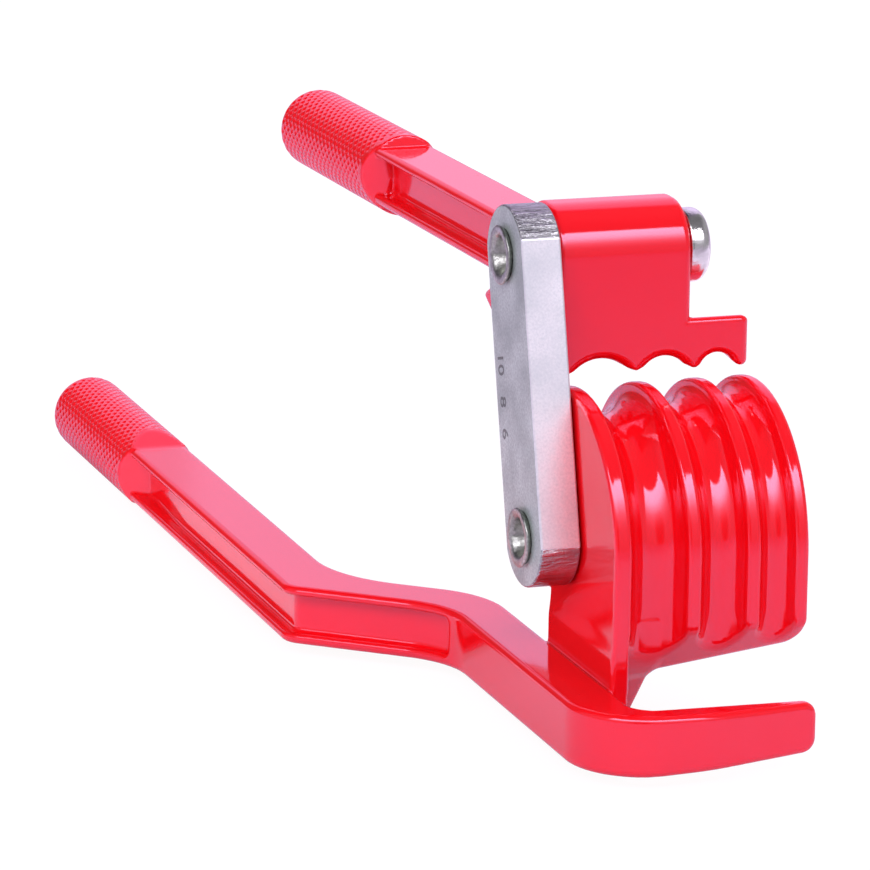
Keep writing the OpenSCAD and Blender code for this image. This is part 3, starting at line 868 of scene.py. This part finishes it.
window = add(tree, "ShaderNodeMapRange", {
    "Value": apart.outputs[0], "From Min": math.radians(SOFTBOX_HALF - 4),
    "From Max": math.radians(SOFTBOX_HALF + 2), "To Min": 1.0,
    "To Max": 0.0}, interpolation_type="SMOOTHSTEP")
levels = []
for steps in (SOFTBOX_STEPS, WALL_STEPS, BACK_STEPS):
    levels.append(graded(tree, lifted.outputs["Result"], [
        (degrees / WORLD_TOP, (share, share, share, 1))
        for degrees, share in steps]))
front = add(tree, "ShaderNodeMath", {
    0: levels[0], 1: window.outputs["Result"]}, operation="MULTIPLY")
behind = add(tree, "ShaderNodeMapRange", {
    "Value": apart.outputs[0], "From Min": math.radians(BACK_FROM),
    "From Max": math.radians(BACK_TO)}, interpolation_type="SMOOTHSTEP")
left_back = add(tree, "ShaderNodeMapRange", {
    "Value": aside.outputs[0], "From Min": math.radians(LEFT_FROM),
    "From Max": math.radians(LEFT_TO), "To Min": LEFT_LEVEL, "To Max": 1.0},
    interpolation_type="SMOOTHSTEP")
plain = add(tree, "ShaderNodeMath", {
    0: levels[1], 1: left_back.outputs["Result"]}, operation="MULTIPLY")
walls = add(tree, "ShaderNodeMath", {
    0: levels[2], 1: behind.outputs["Result"], 2: plain.outputs[0]},
    operation="MULTIPLY_ADD")
facing = add(tree, "ShaderNodeVectorMath", {
    0: add(tree, "ShaderNodeTexCoord").outputs["Generated"],
    1: TOWARDS_CAMERA}, operation="DOT_PRODUCT")
shaded = add(tree, "ShaderNodeMapRange", {
    "Value": facing.outputs["Value"], "From Min": 0.93, "From Max": 0.985,
    "To Min": 1.0, "To Max": 0.2}, interpolation_type="SMOOTHSTEP")
open_walls = add(tree, "ShaderNodeMath", {
    0: walls.outputs[0], 1: shaded.outputs["Result"]}, operation="MULTIPLY")
studio = add(tree, "ShaderNodeMath", {
    0: front.outputs[0], 1: SOFTBOX_LEVEL, 2: open_walls.outputs[0]},
    operation="MULTIPLY_ADD")
level = add(tree, "ShaderNodeMix", {
    0: seen, 2: studio.outputs[0], 3: 1.0}, data_type="FLOAT")
around = add(tree, "ShaderNodeMix", {
    0: behind.outputs["Result"], 6: linear(STUDIO_TINT), 7: linear(BACK_TINT)},
    data_type="RGBA")
tint = add(tree, "ShaderNodeMix", {
    0: seen, 6: around.outputs[2], 7: linear("#FFFFFF")}, data_type="RGBA")
sky = add(tree, "ShaderNodeBackground", {
    "Color": tint.outputs[2], "Strength": level.outputs[0]})
add(tree, "ShaderNodeOutputWorld", {"Surface": sky.outputs[0]})

# diffusers that fill the tops and the left sides
for name, place, aim, size, power in (
        ("overhead_diffuser", (0.5, 0.4, 1.0), (0, 0.05, 0), 1.0, 8.6),
        ("left_diffuser", (-1.2, 0.2, 0.4), (0, 0.05, 0.03), 0.9, 4.8)):
    lamp = bpy.data.lights.new(name, "AREA")
    lamp.size = size
    lamp.energy = power
    lamp.color = linear(STUDIO_TINT)[:3]
    made = bpy.data.objects.new(name, lamp)
    made.location = place
    made.rotation_euler = (Vector(aim) - Vector(place)).to_track_quat(
        "-Z", "Y").to_euler()
    made.visible_glossy = False
    bpy.context.scene.collection.objects.link(made)

# ---------------------------------------------------------------- camera

FOCAL_PX = 5594.977                 # for a frame 870 pixels wide
eye = Vector((-326.6, -899.9, 288.35)) * MM
forward = Vector((0.3092, 0.9198, -0.2416)).normalized()
right = Vector((0.9489, -0.3154, 0.0136))
up = right.cross(forward).normalized()
right = forward.cross(up)
camera = bpy.data.objects.new("camera", bpy.data.cameras.new("camera"))
camera.data.sensor_width = 36
camera.data.lens = FOCAL_PX * 36 / 870
camera.data.clip_start = 0.01
camera.matrix_world = Matrix((
    (right.x, up.x, -forward.x, eye.x), (right.y, up.y, -forward.y, eye.y),
    (right.z, up.z, -forward.z, eye.z), (0, 0, 0, 1)))
bpy.context.scene.collection.objects.link(camera)
bpy.context.scene.camera = camera
bpy.context.scene.view_settings.view_transform = "Standard"
